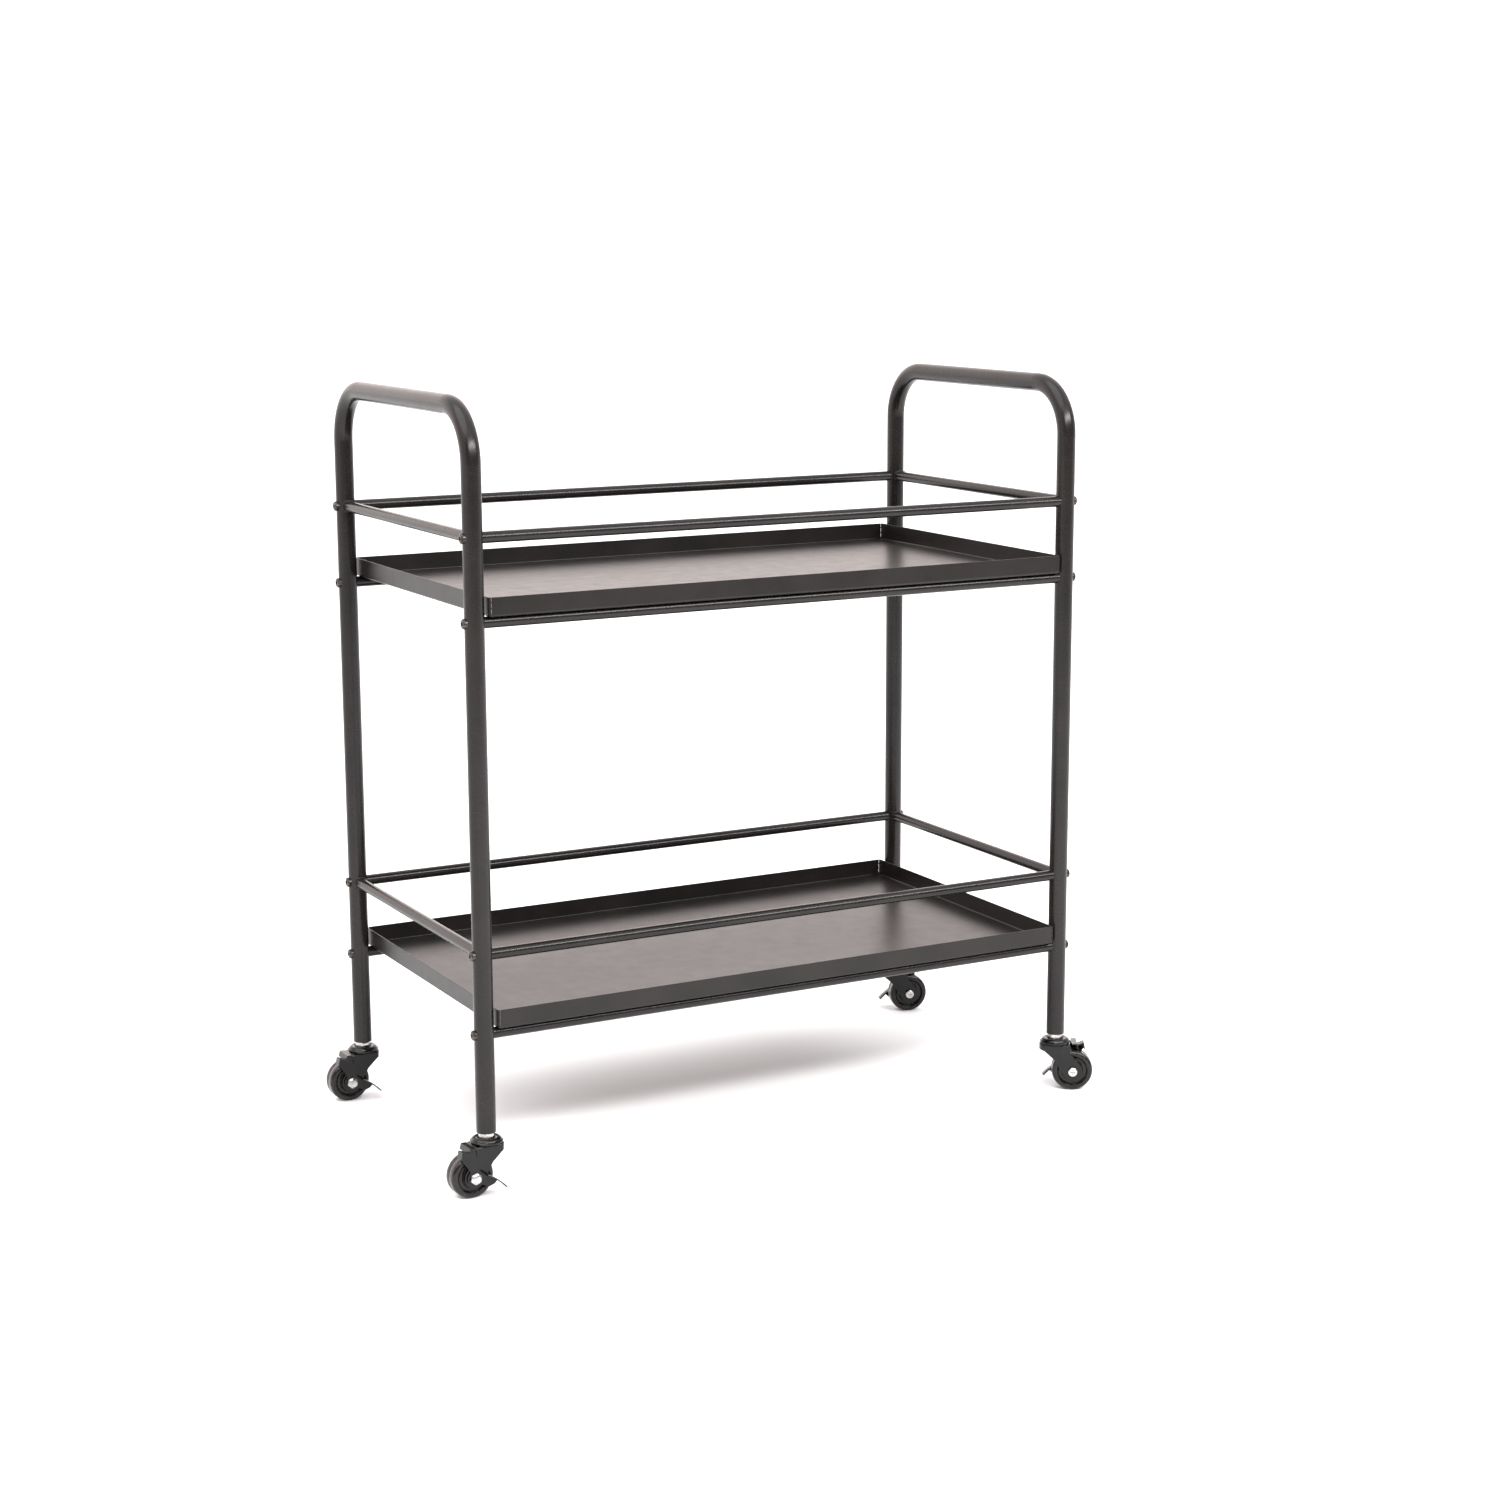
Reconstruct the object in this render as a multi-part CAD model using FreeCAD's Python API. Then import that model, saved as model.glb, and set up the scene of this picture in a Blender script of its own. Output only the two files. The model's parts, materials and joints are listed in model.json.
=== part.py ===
"""Bar cart on four swivel casters: two bent end frames, bolted rails and two folded trays.

Row frame: +Z up, +X along the cart's length, front at -Y. The origin is on the floor, midway
between the four legs. All sizes are in millimetres.
"""
import FreeCAD
import Part
import math
import os

V = FreeCAD.Vector
X_AXIS = V(1, 0, 0)
Y_AXIS = V(0, 1, 0)
Z_AXIS = V(0, 0, 1)

# ---- driving dimensions: frame ----
LEG_SPACING_X = 760.0       # between leg centrelines along the cart
LEG_SPACING_Y = 386.0       # between leg centrelines across the cart
LEG_DIAMETER = 22.0
LEG_WALL = 1.2
HANDLE_Z = 865.5            # centreline of the handle bar
HANDLE_BEND_RADIUS = 60.0   # on the tube's centreline
RAIL_DIAMETER = 12.7
RAIL_WALL = 1.0
UPPER_GALLERY_Z = 728.0
UPPER_TRAY_RAIL_Z = 637.0
LOWER_GALLERY_Z = 272.0
LOWER_TRAY_RAIL_Z = 182.5

# ---- driving dimensions: trays ----
TRAY_LEG_GAP = 2.0          # from a tray's end to the face of the leg beside it
TRAY_HEIGHT = 21.5          # underside to lip edge
TRAY_SHEET = 1.2
TRAY_FOLD_RADIUS = 2.6      # outside of the fold
LIP_EDGE_RADIUS = 0.4
CORNER_SLIT = 0.9           # open seam where two lips meet
CORNER_TACKS = 3
CORNER_TACK_HEIGHT = 1.4

# ---- driving dimensions: fasteners ----
BOLT_DIAMETER = 6.0
BOLT_HEAD_DIAMETER = 11.5
BOLT_HEAD_HEIGHT = 3.3
BOLT_HEAD_ROUNDING = 1.9
BOLT_SOCKET_FLATS = 4.0
BOLT_SOCKET_DEPTH = 2.2
BOLT_HOLE_CLEARANCE = 0.2   # radial, bolt to leg wall
THREAD_CLEARANCE = 0.05     # radial, threads are plain
INSERT_LENGTH = 20.0
INSERT_SETBACK = 0.5        # insert face behind the nearest point of the leg
BOLT_GRIP_IN_INSERT = 15.0
LEG_INSERT_LENGTH = 22.0

# ---- driving dimensions: casters ----
WHEEL_DIAMETER = 50.0
WHEEL_WIDTH = 20.8
WHEEL_CORNER_RADIUS = 4.0
WHEEL_RIM_INNER_RADIUS = 18.5
WHEEL_WEB_HALF_WIDTH = 6.8
WHEEL_HUB_RADIUS = 9.0
WHEEL_DRAFT = 1.2
CASTER_TRAIL = 21.2         # swivel axis to axle
FORK_SHEET = 2.0
FORK_SIDE_GAP = 1.1         # wheel rim to fork plate
HUB_SIDE_GAP = 0.3          # wheel hub to fork plate
FORK_LOBE_RADIUS = 12.0
FORK_KNEE_X = -1.5          # bend in the plate's front edge, from the swivel axis
FORK_KNEE_RISE = 14.5       # the same bend above the axle
FORK_SHOULDER_DROP = 2.0    # bend in the plate's rear edge, below the top of the wheel
WHEEL_TOP_GAP = 1.0         # top of the wheel to the crown's skirt
CROWN_RADIUS = 19.5
CROWN_HEIGHT = 7.6
CROWN_ROUNDING = 1.6
CROWN_RACE_SETBACK = 0.5    # crown's open end short of the race's rim
RACE_RADIUS = 18.5
RACE_SHEET = 1.8
BALL_RADIUS = 2.5
BALL_PITCH_RADIUS = 13.0
BALL_COUNT = 15
BALL_CLEARANCE = 0.06       # ball to the upper race
RACE_FLAT_RISE = 0.4        # flat underside of the race above the ball centres
RACE_RIM_DROP = 1.3         # rim underside below the ball centres
RACE_OUTER_SLOPE = 20.0     # degrees round the ridge where the outer slope starts
KINGPIN_RADIUS = 5.0
KINGPIN_CLEARANCE = 0.3     # radial in the crown, and under it
KINGPIN_HEAD_RADIUS = 8.0
KINGPIN_HEAD_HEIGHT = 2.9
COLLAR_FLATS = 17.0
COLLAR_CORNER_RADIUS = 9.2  # the collar's six corners are turned down to this
COLLAR_HEIGHT = 7.7
STEM_DIAMETER = 8.0
STEM_LENGTH = 18.0
AXLE_DIAMETER = 8.0
AXLE_SLEEVE_DIAMETER = 10.0
RUNNING_CLEARANCE = 0.06    # radial, wheel on sleeve and lever on axle
AXLE_HOLE_CLEARANCE = 0.2
AXLE_HEAD_RADIUS = 5.6
AXLE_HEAD_HEIGHT = 3.6
AXLE_HEAD_ROUNDING = 1.2
CROSS_RECESS_LENGTH = 5.6
CROSS_RECESS_WIDTH = 1.2
CROSS_RECESS_DEPTH = 1.6
NUT_FLATS = 13.0
NUT_TURN = 40.0             # degrees round the axle, flats level at 0
NUT_HEX_HEIGHT = 3.8
NUT_DOME_RISE = 1.4
LEVER_SHEET = 1.5
LEVER_SIDE_GAP = 0.3
LEVER_HUB_RADIUS = 9.5
ON_PEDAL_ROOT = (-11.4, 4.5)     # from the axle, along the trail and up
ON_PEDAL_TIP = (-34.5, -13.0)
ON_PEDAL_REACH = 9.0        # how far the pedal stands out from the lever plate
ON_PEDAL_BOW = 1.4
ON_WEB_EDGE = ((-26.5, -6.6), (-23.0, -10.2), (-16.5, -12.3), (-5.0, -7.5))
LEVER_ARM_FOOT = 6.0        # half the arm's spread at the axle
OFF_PEDAL_REACH = 25.0      # how far the pedal reaches back over the wheel
OFF_PEDAL_LENGTH = 6.0
OFF_PEDAL_RISE = 9.5        # top of the pedal above the top of the wheel
OFF_PEDAL_RACE_GAP = 2.2    # race rim to the pedal
OFF_TAB_RUN = 1.8           # how far the pedal's end leans out
OFF_TAB_DROP = 6.5          # how far the pedal's end turns down
HOOK_REACH = 11.0           # how far the kick hook reaches back over the wheel
HOOK_FOOT = (5.5, 28.4)     # from the axle, along the trail and up
HOOK_CREST = (15.0, 32.0)
HOOK_TIP = (16.6, 23.6)
TRAIL_ANGLES = {            # direction of each caster's trail, degrees from +X
    "front_left": 182.4,
    "rear_left": 180.8,
    "front_right": -30.2,
    "rear_right": -17.4,
}

# ---- worked out from the values above ----
LEG_X = LEG_SPACING_X / 2
LEG_Y = LEG_SPACING_Y / 2
LEG_RADIUS = LEG_DIAMETER / 2
RAIL_RADIUS = RAIL_DIAMETER / 2
BOLT_RADIUS = BOLT_DIAMETER / 2
TRAY_LENGTH = LEG_SPACING_X - LEG_DIAMETER - 2 * TRAY_LEG_GAP
TRAY_WIDTH = LEG_SPACING_Y + LEG_DIAMETER
WHEEL_RADIUS = WHEEL_DIAMETER / 2
WHEEL_HALF = WHEEL_WIDTH / 2
CROWN_SKIRT_Z = WHEEL_DIAMETER + WHEEL_TOP_GAP
CROWN_TOP_Z = CROWN_SKIRT_Z + CROWN_HEIGHT
CROWN_TRAIL_END = RACE_RADIUS - CROWN_RACE_SETBACK
FORK_INNER = WHEEL_HALF + FORK_SIDE_GAP
FORK_OUTER = FORK_INNER + FORK_SHEET
BALL_CENTRE_Z = CROWN_TOP_Z + BALL_RADIUS
RACE_FLAT_TOP_Z = BALL_CENTRE_Z + RACE_FLAT_RISE + RACE_SHEET
LEG_BOTTOM_Z = RACE_FLAT_TOP_Z + COLLAR_HEIGHT
AXLE_RADIUS = AXLE_DIAMETER / 2
LEVER_INNER = FORK_OUTER + LEVER_SIDE_GAP
LEVER_OUTER = LEVER_INNER + LEVER_SHEET
NUT_SEAT = LEVER_OUTER + LEVER_SIDE_GAP
OVERSHOOT = 1.0             # how far cutting tools run past a face

LEG_PLACES = {
    "front_left": (-LEG_X, -LEG_Y),
    "rear_left": (-LEG_X, LEG_Y),
    "front_right": (LEG_X, -LEG_Y),
    "rear_right": (LEG_X, LEG_Y),
}
LONG_RAIL_HEIGHTS = {
    "upper_gallery_rail": UPPER_GALLERY_Z,
    "upper_tray_rail": UPPER_TRAY_RAIL_Z,
    "lower_gallery_rail": LOWER_GALLERY_Z,
    "lower_tray_rail": LOWER_TRAY_RAIL_Z,
}
CROSS_RAIL_HEIGHTS = {
    "upper_cross_rail": UPPER_GALLERY_Z,
    "lower_cross_rail": LOWER_GALLERY_Z,
}
TRAY_RAIL_HEIGHTS = {
    "upper_tray": UPPER_TRAY_RAIL_Z,
    "lower_tray": LOWER_TRAY_RAIL_Z,
}


# ---- helpers ----
def save(shape, node):
    """Write one node's solids to its own STEP file."""
    shape.exportStep(os.path.join("parts", node + ".step"))


def fused(shapes):
    """Join touching solids into one clean solid."""
    return shapes[0].multiFuse(shapes[1:]).removeSplitter()


def line(a, b):
    """Straight edge between two points."""
    return Part.LineSegment(a, b).toShape()


def arc(centre, radius, start, end, normal_y=False):
    """Arc edge in the XZ plane (normal_y) or in the XY plane, angles in degrees."""
    points = []
    for angle in (start, (start + end) / 2, end):
        c = radius * math.cos(math.radians(angle))
        s = radius * math.sin(math.radians(angle))
        points.append(centre + (V(c, 0, s) if normal_y else V(c, s, 0)))
    return Part.Arc(*points).toShape()


def polygon(points):
    """Closed wire through points."""
    return Part.makePolygon(list(points) + [points[0]])


def hexagon_prism(flats, height, base, axis):
    """Hexagonal prism with its base centre at base, extruded along axis."""
    corner = flats / math.sqrt(3)
    ring = [V(corner * math.cos(i * math.pi / 3), corner * math.sin(i * math.pi / 3), 0) for i in range(6)]
    prism = Part.Face(polygon(ring)).extrude(V(0, 0, height))
    prism.Placement = FreeCAD.Placement(base, FreeCAD.Rotation(Z_AXIS, axis))
    return prism


def tangent_angle(point, centre, radius, side):
    """Angle, in degrees round centre, where the line from point touches the circle."""
    dx = point.x - centre.x
    dz = point.z - centre.z
    bearing = math.degrees(math.atan2(dz, dx))
    opening = math.degrees(math.acos(radius / math.hypot(dx, dz)))
    return bearing + side * opening


# ---- frame ----
def end_frame_core(x, radius):
    """Solid bar of the given radius along an end frame's centreline."""
    straight = HANDLE_Z - HANDLE_BEND_RADIUS - LEG_BOTTOM_Z
    bend_y = LEG_Y - HANDLE_BEND_RADIUS
    bend_z = HANDLE_Z - HANDLE_BEND_RADIUS
    pieces = []
    for side in (-1, 1):
        pieces.append(Part.makeCylinder(radius, straight, V(x, side * LEG_Y, LEG_BOTTOM_Z), Z_AXIS))
        ring = Part.makeTorus(HANDLE_BEND_RADIUS, radius, V(x, side * bend_y, bend_z), X_AXIS)
        reach = HANDLE_BEND_RADIUS + LEG_DIAMETER
        low_y = bend_y if side > 0 else -bend_y - reach
        window = Part.makeBox(2 * reach, reach, reach, V(x - reach, low_y, bend_z))
        pieces.append(ring.common(window))
    pieces.append(Part.makeCylinder(radius, 2 * bend_y, V(x, -bend_y, HANDLE_Z), Y_AXIS))
    return fused(pieces)


def end_frame(x):
    """One bent tube: two legs and the handle bar, drilled for the rail bolts."""
    tube = end_frame_core(x, LEG_RADIUS).cut(end_frame_core(x, LEG_RADIUS - LEG_WALL))
    drills = []
    for side in (-1, 1):
        for height in LONG_RAIL_HEIGHTS.values():
            start = V(x - LEG_DIAMETER, side * LEG_Y, height)
            drills.append(
                Part.makeCylinder(BOLT_RADIUS + BOLT_HOLE_CLEARANCE, 2 * LEG_DIAMETER, start, X_AXIS)
            )
    return tube.cut(drills)


def rail(start, direction, length):
    """Tube between two leg centrelines, with its ends shaped to the legs."""
    outer = Part.makeCylinder(RAIL_RADIUS, length, start, direction)
    bore = Part.makeCylinder(RAIL_RADIUS - RAIL_WALL, length, start, direction)
    legs = []
    for place in (start, start + direction * length):
        foot = V(place.x, place.y, place.z - RAIL_DIAMETER)
        legs.append(Part.makeCylinder(LEG_RADIUS, 2 * RAIL_DIAMETER, foot, Z_AXIS))
    return outer.cut([bore] + legs)


def long_rail(y, height):
    """Rail along the cart, bolted between a left and a right leg."""
    return rail(V(-LEG_X, y, height), X_AXIS, LEG_SPACING_X)


def cross_rail(x, height):
    """Rail across an end frame, welded between its two legs."""
    return rail(V(x, -LEG_Y, height), Y_AXIS, LEG_SPACING_Y)


def rail_end_insert(side_x, y, height):
    """Threaded plug inside one end of a long rail."""
    face_x = side_x * (LEG_X - LEG_RADIUS - INSERT_SETBACK)
    inward = V(-side_x, 0, 0)
    plug = Part.makeCylinder(RAIL_RADIUS - RAIL_WALL, INSERT_LENGTH, V(face_x, y, height), inward)
    bore = Part.makeCylinder(BOLT_RADIUS + THREAD_CLEARANCE, INSERT_LENGTH, V(face_x, y, height), inward)
    return plug.cut(bore)


def frame_bolt(side_x, y, height):
    """Button-head bolt through a leg into a rail, its head shaped to the round leg."""
    outward = V(side_x, 0, 0)
    head_face = LEG_X + LEG_RADIUS + BOLT_HEAD_HEIGHT
    head = Part.makeCylinder(
        BOLT_HEAD_DIAMETER / 2, LEG_RADIUS + BOLT_HEAD_HEIGHT, V(side_x * LEG_X, y, height), outward
    )
    outer_edge = [e for e in head.Edges if abs(e.CenterOfMass.x - side_x * head_face) < 1e-6]
    head = head.makeFillet(BOLT_HEAD_ROUNDING, outer_edge)
    socket_base = V(side_x * (head_face - BOLT_SOCKET_DEPTH), y, height)
    socket = hexagon_prism(BOLT_SOCKET_FLATS, BOLT_SOCKET_DEPTH + OVERSHOOT, socket_base, outward)
    leg = Part.makeCylinder(
        LEG_RADIUS, 2 * LEG_DIAMETER, V(side_x * LEG_X, y, height - LEG_DIAMETER), Z_AXIS
    )
    head = head.cut([leg, socket])
    shank_start = LEG_X + LEG_RADIUS
    shank_end = LEG_X - LEG_RADIUS - INSERT_SETBACK - BOLT_GRIP_IN_INSERT
    shank = Part.makeCylinder(
        BOLT_RADIUS, shank_start - shank_end + OVERSHOOT / 2, V(side_x * shank_end, y, height), outward
    )
    return fused([head, shank])


def leg_insert(x, y):
    """Threaded plug in the foot of a leg, for the caster's stem."""
    plug = Part.makeCylinder(LEG_RADIUS - LEG_WALL, LEG_INSERT_LENGTH, V(x, y, LEG_BOTTOM_Z), Z_AXIS)
    bore = Part.makeCylinder(
        STEM_DIAMETER / 2 + THREAD_CLEARANCE, LEG_INSERT_LENGTH, V(x, y, LEG_BOTTOM_Z), Z_AXIS
    )
    return plug.cut(bore)


# ---- trays ----
def tray_block(length, width, base_z, height, fold):
    """Block with its four bottom edges and its upright corners rounded."""
    block = Part.makeBox(length, width, height, V(-length / 2, -width / 2, base_z))
    bottom = [e for e in block.Edges if abs(e.CenterOfMass.z - base_z) < 1e-6]
    upright = [e for e in block.Edges if abs(e.CenterOfMass.z - base_z - height / 2) < 1e-6]
    return block.makeFillet(fold, bottom + upright)


def corner_slits(base_z):
    """Cutting tools for the open seams, which leave a few tacks across each seam."""
    seam_low = base_z + TRAY_FOLD_RADIUS
    seam_height = TRAY_HEIGHT - TRAY_FOLD_RADIUS
    gap_height = (seam_height - CORNER_TACKS * CORNER_TACK_HEIGHT) / CORNER_TACKS
    reach = TRAY_SHEET + 2 * OVERSHOOT
    tools = []
    for side_x in (-1, 1):
        for side_y in (-1, 1):
            x = side_x * (TRAY_LENGTH / 2 - TRAY_FOLD_RADIUS)
            y = side_y * (TRAY_WIDTH / 2 - TRAY_SHEET / 2)
            for step in range(CORNER_TACKS):
                z = seam_low + CORNER_TACK_HEIGHT + step * (gap_height + CORNER_TACK_HEIGHT)
                top_gap = step == CORNER_TACKS - 1
                tall = gap_height + (OVERSHOOT if top_gap else 0)
                tools.append(
                    Part.makeBox(CORNER_SLIT, reach, tall, V(x - CORNER_SLIT / 2, y - reach / 2, z))
                )
    return tools


def tray(rail_z):
    """Folded sheet tray resting on its front and rear rails."""
    base_z = rail_z + RAIL_RADIUS
    outer = tray_block(TRAY_LENGTH, TRAY_WIDTH, base_z, TRAY_HEIGHT, TRAY_FOLD_RADIUS)
    inner = tray_block(
        TRAY_LENGTH - 2 * TRAY_SHEET,
        TRAY_WIDTH - 2 * TRAY_SHEET,
        base_z + TRAY_SHEET,
        TRAY_HEIGHT,
        TRAY_FOLD_RADIUS - TRAY_SHEET,
    )
    shell = outer.cut(inner)
    rim = [e for e in shell.Edges if abs(e.BoundBox.ZMin - base_z - TRAY_HEIGHT) < 1e-6]
    shell = shell.makeFillet(LIP_EDGE_RADIUS, rim)
    return shell.cut(corner_slits(base_z))


# ---- casters: built with the swivel axis on Z and the trail along +X, the lever on the +Y side ----
def at_axle(x, z):
    """Point in the caster's XZ plane, given from the axle."""
    return V(CASTER_TRAIL + x, 0, WHEEL_RADIUS + z)


def caster_stem():
    """Threaded stem, hexagonal collar and kingpin in one turned piece."""
    seat = V(0, 0, RACE_FLAT_TOP_Z)
    bar = Part.makeCylinder(COLLAR_CORNER_RADIUS, COLLAR_HEIGHT, seat, Z_AXIS)
    collar = hexagon_prism(COLLAR_FLATS, COLLAR_HEIGHT, seat, Z_AXIS).common(bar)
    stem = Part.makeCylinder(STEM_DIAMETER / 2, STEM_LENGTH, V(0, 0, LEG_BOTTOM_Z), Z_AXIS)
    head_top = CROWN_TOP_Z - FORK_SHEET - KINGPIN_CLEARANCE
    head = Part.makeCylinder(
        KINGPIN_HEAD_RADIUS, KINGPIN_HEAD_HEIGHT, V(0, 0, head_top - KINGPIN_HEAD_HEIGHT), Z_AXIS
    )
    pin = Part.makeCylinder(KINGPIN_RADIUS, RACE_FLAT_TOP_Z - head_top, V(0, 0, head_top), Z_AXIS)
    return fused([stem, collar, pin, head])


def top_race():
    """Pressed upper race: a dished plate with a raised ridge over the balls."""
    under = BALL_RADIUS + BALL_CLEARANCE
    over = under + RACE_SHEET
    centre = V(BALL_PITCH_RADIUS, 0, BALL_CENTRE_Z)
    flat_under_z = BALL_CENTRE_Z + RACE_FLAT_RISE
    under_angle = math.degrees(math.asin(RACE_FLAT_RISE / under))
    over_angle = math.degrees(math.asin((RACE_FLAT_RISE + RACE_SHEET) / over))
    under_arc = arc(centre, under, 180 - under_angle, under_angle, normal_y=True)
    over_arc = arc(centre, over, RACE_OUTER_SLOPE, 180 - over_angle, normal_y=True)
    rim_z = BALL_CENTRE_Z - RACE_RIM_DROP
    points = [
        V(KINGPIN_RADIUS, 0, RACE_FLAT_TOP_Z),
        V(KINGPIN_RADIUS, 0, flat_under_z),
        under_arc.firstVertex(True).Point,
        under_arc.lastVertex(True).Point,
        V(RACE_RADIUS, 0, rim_z),
        V(RACE_RADIUS, 0, rim_z + RACE_SHEET),
        over_arc.firstVertex(True).Point,
        over_arc.lastVertex(True).Point,
    ]
    edges = [
        line(points[0], points[1]),
        line(points[1], points[2]),
        under_arc,
        line(points[3], points[4]),
        line(points[4], points[5]),
        line(points[5], points[6]),
        over_arc,
        line(points[7], points[0]),
    ]
    return Part.Face(Part.Wire(edges)).revolve(V(0, 0, 0), Z_AXIS, 360)


def race_balls():
    """Ring of balls lying on the crown."""
    balls = []
    for step in range(BALL_COUNT):
        angle = 2 * math.pi * step / BALL_COUNT
        x = BALL_PITCH_RADIUS * math.cos(angle)
        y = BALL_PITCH_RADIUS * math.sin(angle)
        balls.append(Part.makeSphere(BALL_RADIUS, V(x, y, BALL_CENTRE_Z)))
    return Part.makeCompound(balls)


def crown_block(inset, low_z, high_z, trail_end):
    """Round-nosed block between the fork's side planes, drawn in by inset."""
    height = high_z - low_z
    half = FORK_OUTER - inset
    disc = Part.makeCylinder(CROWN_RADIUS - inset, height, V(0, 0, low_z), Z_AXIS)
    band = Part.makeBox(2 * CROWN_RADIUS, 2 * half, height, V(-2 * CROWN_RADIUS, -half, low_z))
    tail = Part.makeBox(trail_end, 2 * half, height, V(0, -half, low_z))
    return fused([disc.common(band), tail])


def fork_plate(low_y):
    """One side plate of the fork, wide at the crown and round at the axle."""
    axle = at_axle(0, 0)
    top_z = CROWN_TOP_Z - FORK_SHEET
    nose = V(-math.sqrt(CROWN_RADIUS ** 2 - FORK_OUTER ** 2), 0, CROWN_SKIRT_Z)
    knee = V(FORK_KNEE_X, 0, WHEEL_RADIUS + FORK_KNEE_RISE)
    shoulder = V(CROWN_TRAIL_END, 0, WHEEL_DIAMETER - FORK_SHOULDER_DROP)
    left = tangent_angle(knee, axle, FORK_LOBE_RADIUS, 1)
    right = tangent_angle(shoulder, axle, FORK_LOBE_RADIUS, -1)
    lobe = arc(axle, FORK_LOBE_RADIUS, left, right + 360, normal_y=True)
    points = [
        lobe.lastVertex(True).Point,
        shoulder,
        V(CROWN_TRAIL_END, 0, top_z),
        V(nose.x, 0, top_z),
        nose,
        knee,
        lobe.firstVertex(True).Point,
    ]
    edges = [lobe] + [line(a, b) for a, b in zip(points[:-1], points[1:])]
    plate = Part.Face(Part.Wire(edges)).extrude(V(0, FORK_SHEET, 0))
    plate.translate(V(0, low_y, 0))
    return plate


def fork():
    """Pressed fork: a domed crown with a skirt, and two side plates."""
    crown = crown_block(0, CROWN_SKIRT_Z, CROWN_TOP_Z, CROWN_TRAIL_END)
    rim = [e for e in crown.Edges if abs(e.BoundBox.ZMin - CROWN_TOP_Z) < 1e-6]
    crown = crown.makeFillet(CROWN_ROUNDING, rim)
    hollow = crown_block(
        FORK_SHEET, CROWN_SKIRT_Z - OVERSHOOT, CROWN_TOP_Z - FORK_SHEET, CROWN_TRAIL_END + OVERSHOOT
    )
    crown = crown.cut(hollow)
    plates = [fork_plate(FORK_INNER), fork_plate(-FORK_OUTER)]
    axle = at_axle(0, 0)
    pin_hole = Part.makeCylinder(
        KINGPIN_RADIUS + KINGPIN_CLEARANCE, 3 * FORK_SHEET, V(0, 0, CROWN_TOP_Z - 2 * FORK_SHEET), Z_AXIS
    )
    axle_hole = Part.makeCylinder(
        AXLE_RADIUS + AXLE_HOLE_CLEARANCE, 3 * FORK_OUTER, V(axle.x, -1.5 * FORK_OUTER, axle.z), Y_AXIS
    )
    return fused([crown] + plates).cut([pin_hole, axle_hole])


def axle_bolt():
    """Axle bolt with a rounded head and a cross recess on the -Y side."""
    axle = at_axle(0, 0)
    head_face = -FORK_OUTER - AXLE_HEAD_HEIGHT
    head = Part.makeCylinder(AXLE_HEAD_RADIUS, AXLE_HEAD_HEIGHT, V(axle.x, head_face, axle.z), Y_AXIS)
    face_edge = [
        e for e in head.Edges
        if abs(e.BoundBox.YMin - head_face) < 1e-3 and e.BoundBox.YLength < 1e-3
    ]
    head = head.makeFillet(AXLE_HEAD_ROUNDING, face_edge)
    half_length = CROSS_RECESS_LENGTH / 2
    half_width = CROSS_RECESS_WIDTH / 2
    depth = CROSS_RECESS_DEPTH + OVERSHOOT
    base_y = head_face - OVERSHOOT
    bar = Part.makeBox(
        CROSS_RECESS_LENGTH, depth, CROSS_RECESS_WIDTH, V(axle.x - half_length, base_y, axle.z - half_width)
    )
    post = Part.makeBox(
        CROSS_RECESS_WIDTH, depth, CROSS_RECESS_LENGTH, V(axle.x - half_width, base_y, axle.z - half_length)
    )
    shank_length = FORK_OUTER + NUT_SEAT + NUT_HEX_HEIGHT
    shank = Part.makeCylinder(AXLE_RADIUS, shank_length, V(axle.x, -FORK_OUTER, axle.z), Y_AXIS)
    return fused([head.cut([bar, post]), shank])


def axle_sleeve():
    """Steel tube that the axle bolt clamps between the fork plates, and the wheel turns on."""
    axle = at_axle(0, 0)
    start = V(axle.x, -FORK_INNER, axle.z)
    outer = Part.makeCylinder(AXLE_SLEEVE_DIAMETER / 2, 2 * FORK_INNER, start, Y_AXIS)
    return outer.cut(Part.makeCylinder(AXLE_RADIUS + THREAD_CLEARANCE, 2 * FORK_INNER, start, Y_AXIS))


def axle_nut():
    """Domed nut on the +Y end of the axle bolt."""
    axle = at_axle(0, 0)
    seat = V(axle.x, NUT_SEAT, axle.z)
    body = hexagon_prism(NUT_FLATS, NUT_HEX_HEIGHT, seat, Y_AXIS)
    body.rotate(seat, Y_AXIS, NUT_TURN)
    round_radius = NUT_FLATS / 2
    sphere_radius = (round_radius ** 2 + NUT_DOME_RISE ** 2) / (2 * NUT_DOME_RISE)
    top_y = NUT_SEAT + NUT_HEX_HEIGHT + NUT_DOME_RISE
    sphere = Part.makeSphere(sphere_radius, V(axle.x, top_y - sphere_radius, axle.z))
    cap = Part.makeCylinder(round_radius, NUT_HEX_HEIGHT + NUT_DOME_RISE, seat, Y_AXIS).common(sphere)
    bore = Part.makeCylinder(AXLE_RADIUS + THREAD_CLEARANCE, NUT_HEX_HEIGHT + THREAD_CLEARANCE, seat, Y_AXIS)
    return fused([body, cap]).cut(bore)


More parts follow.
